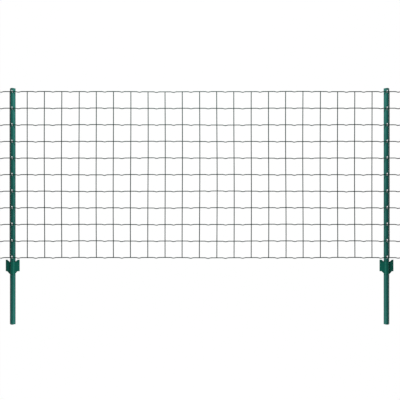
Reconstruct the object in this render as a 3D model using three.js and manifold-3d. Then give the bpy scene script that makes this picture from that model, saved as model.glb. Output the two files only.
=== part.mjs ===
import * as THREE from "three";
import { mergeVertices } from "three/addons/utils/BufferGeometryUtils.js";
import Module from "manifold-3d";

// Welded wire mesh fence hung on two steel posts, lying on its back, in mm.
// X runs along the fence, Y towards its top edge and Z out of its front.

// Wire mesh
const uprightPitch = 104;
const rowPitch = 100;
const cellsAcross = 24;
const cellsHigh = 10;
const wire = 5;
const weldDepth = 0.5;

// Posts: hat-shaped sheet steel, open at the back
const postSpacing = 2264;
const postLength = 1428;
const topRowInset = 23;
const postWidth = 34;
const postDepth = 16;
const webWidth = 11.2;
const flangeWidth = 2.4;
const postSheet = 1.6;

// Hooks pressed out of the web, one under each row of the mesh
const hookWidth = 4.6;
const hookTip = 5.5;
const hookFoot = 7.3;
const hookBend = 1;
const windowWidth = 5.4;
const windowAbove = 10;

// Anchor plates, pressed over the front of the posts
const plateWidth = 85;
const plateSheet = 2;
const plateSide = 9;
const wingDrop = 4.2;
const lipWidth = 2.2;
const plateBelowMesh = 14;
const plateNotch = 12;
const plateEdge = 70;
const plateTaper = 15;
const plateCornerFlat = 11.5;

// Gap between pieces that touch
const fit = 0.3;

const wasm = await Module();
wasm.setup();

const steel = new THREE.MeshStandardMaterial({ color: 0x2f6f63, metalness: 0.2, roughness: 0.45 });
const coatedWire = new THREE.MeshStandardMaterial({ color: 0x3d524c, metalness: 0.2, roughness: 0.5 });

// Closed geometry to solid, and back
function toSolid(geometry) {
  const bare = geometry.clone();
  bare.deleteAttribute("normal");
  bare.deleteAttribute("uv");
  const merged = mergeVertices(bare, 1e-4);
  return new wasm.Manifold(
    new wasm.Mesh({
      numProp: 3,
      vertProperties: new Float32Array(merged.attributes.position.array),
      triVerts: new Uint32Array(merged.index.array),
    }),
  );
}

function toPiece(name, solid, material) {
  const mesh = solid.getMesh();
  const geometry = new THREE.BufferGeometry();
  geometry.setAttribute("position", new THREE.BufferAttribute(mesh.vertProperties, 3));
  geometry.setIndex(new THREE.BufferAttribute(mesh.triVerts, 1));
  geometry.computeVertexNormals();
  const piece = new THREE.Mesh(geometry, material);
  piece.name = name;
  return piece;
}

// Outline of a bent strip of even thickness, from its centre line
function bentStrip(line, thickness) {
  const left = [];
  const right = [];
  line.forEach((point, i) => {
    const before = point.clone().sub(line[Math.max(i - 1, 0)]).normalize();
    const after = line[Math.min(i + 1, line.length - 1)].clone().sub(point).normalize();
    const along = before.clone().add(after).normalize();
    const reach = thickness / 2 / Math.max(along.dot(before), along.dot(after));
    const side = new THREE.Vector2(-along.y, along.x).multiplyScalar(reach);
    left.push(point.clone().add(side));
    right.push(point.clone().sub(side));
  });
  return new THREE.Shape([...left, ...right.reverse()]);
}

function extrude(shape, depth) {
  return new THREE.ExtrudeGeometry(shape, { depth, bevelEnabled: false });
}

function box(width, height, depth, x, y, z) {
  return toSolid(new THREE.BoxGeometry(width, height, depth).translate(x, y, z));
}

const point = (x, y) => new THREE.Vector2(x, y);
const postTop = postLength / 2;
const bottomRow = postTop - topRowInset - cellsHigh * rowPitch;
const wireMiddle = postDepth + fit + wire / 2;

// Wire mesh: straight rows, with the uprights welded behind them
function wireMesh() {
  const length = cellsAcross * uprightPitch;
  const height = cellsHigh * rowPitch;
  const wires = [];
  for (let i = 0; i <= cellsHigh; i++) {
    wires.push(box(length + wire * 2, wire, wire, 0, bottomRow + i * rowPitch, wireMiddle));
  }
  const uprightMiddle = wireMiddle - wire + weldDepth;
  for (let i = 0; i <= cellsAcross; i++) {
    const x = -length / 2 + i * uprightPitch;
    wires.push(box(wire, height + wire * 2, wire, x, bottomRow + height / 2, uprightMiddle));
  }
  return wasm.Manifold.union(wires);
}

// One hook seen from the side, around the middle of the wire that it holds
function hookShape() {
  const front = wireMiddle + wire / 2 + fit + postSheet / 2;
  const inWeb = postDepth - postSheet * 0.6;
  return bentStrip(
    [
      point(-wire / 2 - hookFoot + 2, inWeb),
      point(-wire / 2 - hookBend, front),
      point(hookTip, front),
    ],
    postSheet,
  );
}

// Post with its row of windows and the hooks bent out of them
function post(x) {
  const low = postSheet / 2;
  const high = postDepth - postSheet / 2;
  const outer = postWidth / 2;
  const profile = bentStrip(
    [
      point(-outer, low),
      point(-outer + flangeWidth, low),
      point(-webWidth / 2, high),
      point(webWidth / 2, high),
      point(outer - flangeWidth, low),
      point(outer, low),
    ],
    postSheet,
  );
  const channel = extrude(profile, postLength).rotateX(Math.PI / 2).translate(x, postTop, 0);
  const hook = extrude(hookShape(), hookWidth).rotateX(Math.PI / 2).rotateZ(Math.PI / 2);
  const windowFoot = -wire / 2 - hookFoot + 3;
  const windowHeight = windowAbove - windowFoot;
  let solid = toSolid(channel);
  for (let i = 0; i <= cellsHigh; i++) {
    const held = bottomRow + i * rowPitch;
    const opening = box(
      windowWidth,
      windowHeight,
      postSheet * 2,
      x,
      held + windowFoot + windowHeight / 2,
      postDepth - postSheet / 2,
    );
    solid = solid.subtract(opening).add(toSolid(hook.clone().translate(x - hookWidth / 2, held, 0)));
  }
  return solid;
}

// Anchor plate: the post's front again, then a wing and a turned-down lip on each side
function anchorPlate(x) {
  const away = postSheet / 2 + fit + plateSheet / 2;
  const rise = postDepth - postSheet;
  const run = postWidth / 2 - flangeWidth - webWidth / 2;
  const slope = Math.atan2(rise, run);
  const top = postDepth + fit + plateSheet / 2;
  const shoulder = webWidth / 2 + away * Math.tan(slope / 2);
  const elbow = shoulder + plateSide / Math.tan(slope);
  const end = plateWidth / 2;
  const half = [
    point(end - plateSheet / 2, plateSheet / 2 - 0.4),
    point(end - lipWidth, top - plateSide - wingDrop),
    point(elbow, top - plateSide),
    point(shoulder, top),
  ];
  const mirrored = half.map((p) => point(-p.x, p.y)).reverse();
  const profile = bentStrip([...half, ...mirrored].reverse(), plateSheet);
  const upper = bottomRow - plateBelowMesh;
  const lower = upper - plateEdge;
  const pressed = extrude(profile, plateEdge + plateTaper + 2)
    .rotateX(Math.PI / 2)
    .translate(x, upper + 1, 0);

  const wide = end + 1;
  const flat = end - plateCornerFlat;
  const neck = postWidth / 2;
  const side = [
    point(neck, lower - plateTaper),
    point(flat, lower),
    point(wide, lower),
    point(wide, upper),
    point(flat, upper),
    point(neck, upper - plateNotch),
  ];
  const chevron = new THREE.Shape([...side, ...side.map((p) => point(-p.x, p.y)).reverse()]);
  const cutter = extrude(chevron, postDepth * 2).translate(x, 0, 0);
  return toSolid(pressed).intersect(toSolid(cutter));
}

const group = new THREE.Group();
group.name = "mesh_fence";
group.add(toPiece("wire_mesh", wireMesh(), coatedWire));
group.add(toPiece("left_post", post(-postSpacing / 2), steel));
group.add(toPiece("right_post", post(postSpacing / 2), steel));
group.add(toPiece("left_anchor_plate", anchorPlate(-postSpacing / 2), steel));
group.add(toPiece("right_anchor_plate", anchorPlate(postSpacing / 2), steel));

export default group;
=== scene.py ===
import math
import bpy
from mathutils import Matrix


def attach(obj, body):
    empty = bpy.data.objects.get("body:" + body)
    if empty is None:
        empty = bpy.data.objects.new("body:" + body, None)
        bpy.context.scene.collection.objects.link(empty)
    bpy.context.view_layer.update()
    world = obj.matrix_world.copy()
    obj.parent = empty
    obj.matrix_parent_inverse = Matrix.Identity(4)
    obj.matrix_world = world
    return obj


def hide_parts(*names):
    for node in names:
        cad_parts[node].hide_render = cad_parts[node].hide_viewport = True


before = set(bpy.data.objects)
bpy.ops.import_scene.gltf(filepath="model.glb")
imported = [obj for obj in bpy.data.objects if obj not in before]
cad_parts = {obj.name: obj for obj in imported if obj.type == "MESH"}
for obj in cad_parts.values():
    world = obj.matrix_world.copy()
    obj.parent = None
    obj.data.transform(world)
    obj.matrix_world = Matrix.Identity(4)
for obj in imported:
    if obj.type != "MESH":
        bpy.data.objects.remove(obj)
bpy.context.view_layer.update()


# Wire mesh: round steel wire in a dark green coat, about 5 mm thick, welded at
# every crossing with the uprights behind the rows. Each row has one small
# rounded crimp per cell, and no wire is quite straight.
class Shader:
    """The nodes of a material or a world, with one way to add any of them."""

    def __init__(self, owner):
        owner.use_nodes = True
        self.nodes = owner.node_tree.nodes
        self.links = owner.node_tree.links

    def feed(self, node, sockets):
        """Give a node's inputs their values or links."""
        for key, value in sockets.items():
            if isinstance(value, bpy.types.NodeSocket):
                self.links.new(value, node.inputs[key])
            else:
                node.inputs[key].default_value = value

    def node(self, kind, settings, sockets):
        made = self.nodes.new(kind)
        for name, value in settings.items():
            setattr(made, name, value)
        self.feed(made, sockets)
        return made


def coat(name, dark, light, grain, bump):
    """A satin coat: its colour wanders a little, over a faint orange peel."""
    material = bpy.data.materials.new(name)
    shader = Shader(material)
    place = shader.node("ShaderNodeTexCoord", {}, {}).outputs["Object"]
    cloud = shader.node("ShaderNodeTexNoise", {}, {"Vector": place, "Scale": 9.0, "Detail": 4.0})
    colour = shader.node(
        "ShaderNodeMix",
        {"data_type": "RGBA"},
        {"Factor": cloud.outputs["Fac"], "A": (*dark, 1), "B": (*light, 1)},
    )
    peel = shader.node("ShaderNodeTexNoise", {}, {"Vector": place, "Scale": grain, "Detail": 2.0})
    raised = shader.node(
        "ShaderNodeBump",
        {},
        {"Strength": bump, "Distance": 0.0002, "Height": peel.outputs["Fac"]},
    )
    shader.feed(
        shader.nodes["Principled BSDF"],
        {
            "Base Color": colour.outputs["Result"],
            "Normal": raised.outputs["Normal"],
            "Roughness": 0.42,
            "Specular IOR Level": 0.25,
        },
    )
    return material


def add_mesh(name, verts, faces, material):
    data = bpy.data.meshes.new(name)
    data.from_pydata(verts, [], faces)
    data.validate()
    data.polygons.foreach_set("use_smooth", [True] * len(data.polygons))
    data.materials.append(material)
    made = bpy.data.objects.new(name, data)
    bpy.context.scene.collection.objects.link(made)
    return made


cell_width, cell_height = 0.104, 0.1
columns, rows = 25, 11
bottom_row = -0.309
column_x = [(i - (columns - 1) / 2) * cell_width for i in range(columns)]
row_y = [bottom_row + j * cell_height for j in range(rows)]

wire_radius = 0.0027
row_z, upright_z = 0.0188, 0.0140
row_end = 1.2514
row_limit = 1.2515
upright_tail = 0.0031

# The hooks on the posts hold the mesh, which hangs free further off
post_x = 1.132
held_reach = 0.13
slack_along, slack_up = 0.0011, 0.0008

crimp_depth, crimp_reach = 0.0034, 0.022
half_crimp = [0.003, 0.006, 0.01, 0.014, 0.018, crimp_reach]
crimp_stops = [-stop for stop in reversed(half_crimp)] + [0] + half_crimp


def slack(x, y):
    """Where a point of the mesh really lies: the wires wander, except in the hooks."""
    free = 1 - math.exp(-(((abs(x) - post_x) / held_reach) ** 2))
    wave_x = math.sin(5.1 * y + 3.7 * x + 0.4) + 0.7 * math.sin(17 * x + 2.3 * y)
    wave_y = math.sin(4.3 * x + 7.9 * y) + 0.8 * math.sin(11.7 * x - 9.1 * y + 1.1)
    return x + slack_along * free * wave_x, y + slack_up * free * wave_y


def crimp(x):
    """How far a row dips at x: once in each cell, half-way between uprights."""
    off = abs((x / cell_width) % 1 - 0.5) * cell_width
    return crimp_depth * (0.5 + 0.5 * math.cos(math.pi * min(1.0, off / crimp_reach))) ** 1.3


mesh_verts, mesh_faces = [], []


def add_wire(line, along_x, sides=10):
    """A round wire along a line of points, which runs along the fence or up it."""
    first = len(mesh_verts)
    for x, y, z in line:
        for k in range(sides):
            turn = math.tau * k / sides
            across, up = wire_radius * math.cos(turn), wire_radius * math.sin(turn)
            mesh_verts.append((x, y + across, z + up) if along_x else (x - across, y, z + up))
    for i in range(len(line) - 1):
        for k in range(sides):
            a, b = first + i * sides + k, first + i * sides + (k + 1) % sides
            mesh_faces.append((b, a, a + sides, b + sides))
    mesh_faces.append(tuple(range(first, first + sides)))
    mesh_faces.append(tuple(reversed(range(len(mesh_verts) - sides, len(mesh_verts)))))


row_stops = [-row_end]
for x in column_x[:-1]:
    row_stops.append(x)
    row_stops += [x + cell_width / 2 + stop for stop in crimp_stops]
row_stops += [column_x[-1], row_end]
for y in row_y:
    line = []
    for x in row_stops:
        px, py = slack(x, y)
        line.append((max(-row_limit, min(row_limit, px)), py - crimp(x), row_z))
    add_wire(line, True)

upright_stops = [row_y[0] + j * cell_height / 2 for j in range(2 * rows - 1)]
upright_stops = [row_y[0] - upright_tail, *upright_stops, row_y[-1] + upright_tail]
for x in column_x:
    add_wire([(*slack(x, y), upright_z) for y in upright_stops], False)

weld_reach, weld_half, weld_sides = 0.0031, 0.0026, 8
weld_middle = (row_z + upright_z) / 2
weld_rings = ((0.0017, 0.7), (0, 1), (-0.0017, 0.7))


def add_weld(x, y):
    """The coat runs into the corners at a weld and leaves a small swelling."""
    px, py = slack(x, y)
    top = len(mesh_verts)
    mesh_verts.append((px, py, weld_middle + weld_half))
    for lift, spread in weld_rings:
        for k in range(weld_sides):
            turn = math.tau * k / weld_sides
            reach = weld_reach * spread
            mesh_verts.append(
                (px + reach * math.cos(turn), py + reach * math.sin(turn), weld_middle + lift)
            )
    bottom = len(mesh_verts)
    mesh_verts.append((px, py, weld_middle - weld_half))
    for k in range(weld_sides):
        n = (k + 1) % weld_sides
        mesh_faces.append((top, top + 1 + k, top + 1 + n))
        for ring in range(len(weld_rings) - 1):
            start = top + 1 + ring * weld_sides
            mesh_faces.append(
                (start + k, start + weld_sides + k, start + weld_sides + n, start + n)
            )
        mesh_faces.append((bottom - weld_sides + k, bottom, bottom - weld_sides + n))


for x in column_x:
    for y in row_y:
        add_weld(x, y)

wire_coat = coat("coated_wire", (0.006, 0.026, 0.020), (0.010, 0.036, 0.029), 700, 0.25)
mesh = add_mesh("wire_mesh_visual", mesh_verts, mesh_faces, wire_coat)
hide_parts("wire_mesh")
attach(mesh, "root")


# Posts: 1.6 mm steel sheet bent to a hat section 34 mm wide, open at the back,
# with a green powder coat. A tongue is cut and bent forward out of the web
# under each row of the mesh, which leaves a window around the row.
def rounded(line, radius, steps=4):
    """The polyline with its corners turned into short arcs."""
    out = [line[0]]
    for a, b, c in zip(line, line[1:], line[2:]):
        ab, bc = math.dist(a, b), math.dist(b, c)
        cut = min(radius, ab * 0.45, bc * 0.45)
        start = [b[i] + (a[i] - b[i]) * cut / ab for i in range(2)]
        end = [b[i] + (c[i] - b[i]) * cut / bc for i in range(2)]
        for s in range(steps + 1):
            t = s / steps
            arc = [(1 - t) ** 2 * start[i] + 2 * t * (1 - t) * b[i] + t * t * end[i] for i in range(2)]
            out.append(tuple(arc))
    out.append(line[-1])
    return out


def sheet_metal(name, verts, faces, thickness, material, replaced):
    """Folded sheet around its middle surface, with the burr taken off its edges."""
    made = add_mesh(name, verts, faces, material)
    sheet = made.modifiers.new("sheet", "SOLIDIFY")
    sheet.thickness = thickness
    sheet.offset = 0
    sheet.use_even_offset = True
    edge = made.modifiers.new("edge", "BEVEL")
    edge.width = 0.00025
    edge.segments = 2
    edge.limit_method = "ANGLE"
    edge.angle_limit = math.radians(50)
    made.modifiers.new("even", "WEIGHTED_NORMAL").keep_sharp = True
    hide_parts(replaced)
    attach(made, "root")
    return made


half_post = 0.714
post_sheet, post_bend = 0.0016, 0.0018
back_z, front_z = 0.0008, 0.0152
half_width, half_web, flange = 0.017, 0.0056, 0.0024
window_half, window_below, window_above = 0.0027, 0.0068, 0.01
tongue_half, tongue_tip_half, tongue_bend = 0.0023, 0.0017, 0.0022
tongue_line = [(-0.0078, 0.0150), (-0.0035, 0.0224), (0.0055, 0.0224)]

left_half = [(-half_width, back_z), (flange - half_width, back_z), (-half_web, front_z)]
hat = rounded(left_half + [(-x, z) for x, z in reversed(left_half)], post_bend)
window_column = len(hat) // 2
hat[window_column:window_column] = [(-window_half, front_z), (window_half, front_z)]

levels = [-half_post]
for y in row_y:
    levels += [y - window_below, y + window_above]
levels.append(half_post)
tongue = rounded(tongue_line, tongue_bend)

green = coat("powder_coated_steel", (0.006, 0.110, 0.090), (0.010, 0.134, 0.110), 500, 0.3)
sides = (("left", -post_x), ("right", post_x))

for side, middle in sides:
    verts = [(middle + x, y, z) for y in levels for x, z in hat]
    faces = []
    for j in range(len(levels) - 1):
        at_window = j % 2 == 1
        for i in range(len(hat) - 1):
            if at_window and i == window_column:
                continue
            a = j * len(hat) + i
            faces.append((a, a + 1, a + 1 + len(hat), a + len(hat)))
    for y in row_y:
        first = len(verts)
        for n, (up, z) in enumerate(tongue):
            half = tongue_half if n < len(tongue) - 1 else tongue_tip_half
            verts += [(middle - half, y + up, z), (middle + half, y + up, z)]
        for n in range(len(tongue) - 1):
            a = first + n * 2
            faces.append((a, a + 1, a + 3, a + 2))
    sheet_metal(side + "_post_visual", verts, faces, post_sheet, green, side + "_post")


# Anchor plates: 2 mm steel sheet pressed over the front of each post below the
# mesh and spot-welded to it. The wings sweep back to a turned-down lip, and
# both edges are cut to a chevron. The coat is the posts', painted a shade brighter as painted light.
plate_sheet, plate_bend = 0.002, 0.002
wing_flat = 0.031
plate_top = bottom_row - 0.014
plate_edge, plate_taper, plate_notch = 0.07, 0.015, 0.012
plate_steps = 3
half_plate = [(0.0068, 0.0173), (0.0124, 0.0083), (0.0403, 0.0041), (0.0415, 0.0007)]
plate_line = rounded([(-x, z) for x, z in reversed(half_plate)] + half_plate, plate_bend)


def add_stop(line, x):
    """One more point on the line, at x."""
    at = next(i for i in range(len(line) - 1) if line[i][0] < x < line[i + 1][0])
    a, b = line[at], line[at + 1]
    t = (x - a[0]) / (b[0] - a[0])
    line.insert(at + 1, (x, a[1] + (b[1] - a[1]) * t))


for stop in (half_width, wing_flat):
    add_stop(plate_line, -stop)
    add_stop(plate_line, stop)

# Painted light: the posts' green coat made a shade brighter, for the light the plates catch
plate_green_painted_light = coat("plate_green_painted_light", (0.003, 0.126, 0.090), (0.005, 0.150, 0.108), 500, 0.3)
for side, middle in sides:
    verts, faces = [], []
    for x, z in plate_line:
        inward = 1 - max(0.0, min(1.0, (abs(x) - half_width) / (wing_flat - half_width)))
        top = plate_top - plate_notch * inward
        bottom = plate_top - plate_edge - plate_taper * inward
        for s in range(plate_steps + 1):
            verts.append((middle + x, bottom + (top - bottom) * s / plate_steps, z))
    for i in range(len(plate_line) - 1):
        for s in range(plate_steps):
            a = i * (plate_steps + 1) + s
            b = a + plate_steps + 1
            faces.append((a, b, b + 1, a + 1))
    sheet_metal(side + "_anchor_plate_visual", verts, faces, plate_sheet, plate_green_painted_light, side + "_anchor_plate")


# Floor: a plain white ground that glows evenly, just below the lying posts.
# It reaches so far that no view shows its edge.
floor_reach, floor_z = 60, -0.0002
floor_corners = [(-1, -1), (1, -1), (1, 1), (-1, 1)]
floor_data = bpy.data.meshes.new("floor")
floor_data.from_pydata(
    [(x * floor_reach, y * floor_reach, floor_z) for x, y in floor_corners], [], [(0, 1, 2, 3)]
)
floor = bpy.data.objects.new("floor", floor_data)
bpy.context.scene.collection.objects.link(floor)
floor_paint = bpy.data.materials.new("floor_white")
floor_shader = Shader(floor_paint)
floor_shader.feed(
    floor_shader.nodes["Principled BSDF"],
    {
        "Base Color": (0.001, 0.001, 0.001, 1),
        "Roughness": 1.0,
        "Specular IOR Level": 0.0,
        "Emission Color": (1, 1, 1, 1),
        "Emission Strength": 1.0,
    },
)
floor_data.materials.append(floor_paint)


# Light: a weak white sky and two soft lamps above the fence's ends, high and low.
# The camera sees the sky as white as the floor, so a low view shows no horizon.
world = bpy.data.worlds.new("studio")
bpy.context.scene.world = world
sky = Shader(world)
glow = sky.nodes["Background"]
sky.feed(glow, {"Color": (1, 1, 1, 1), "Strength": 0.14})
backdrop = sky.node("ShaderNodeBackground", {}, {"Color": (1, 1, 1, 1)})
ray = sky.node("ShaderNodeLightPath", {}, {})
either = sky.node(
    "ShaderNodeMixShader",
    {},
    {0: ray.outputs["Is Camera Ray"], 1: glow.outputs[0], 2: backdrop.outputs[0]},
)
sky.feed(sky.nodes["World Output"], {"Surface": either.outputs[0]})

lamp_size = (1.1, 0.4)
for name, place, power in (
    ("top_light", (-0.05, 1.3, 0.85), 45),
    ("low_light", (-0.05, -1.45, 0.75), 38),
):
    lamp_data = bpy.data.lights.new(name, "AREA")
    lamp_data.shape = "RECTANGLE"
    lamp_data.size, lamp_data.size_y = lamp_size
    lamp_data.energy = power
    lamp = bpy.data.objects.new(name, lamp_data)
    lamp.location = place
    bpy.context.scene.collection.objects.link(lamp)


# Camera: it looks straight down on the lying fence, from 3.2 m above the mesh
camera_lift = 3.2
camera_data = bpy.data.cameras.new("camera")
camera_data.lens = 47.8
camera_data.clip_end = 100
camera = bpy.data.objects.new("camera", camera_data)
camera.location = (0.0024, 0.038, 0.0184 + camera_lift)
bpy.context.scene.view_settings.view_transform = "Standard"
bpy.context.scene.collection.objects.link(camera)
bpy.context.scene.camera = camera
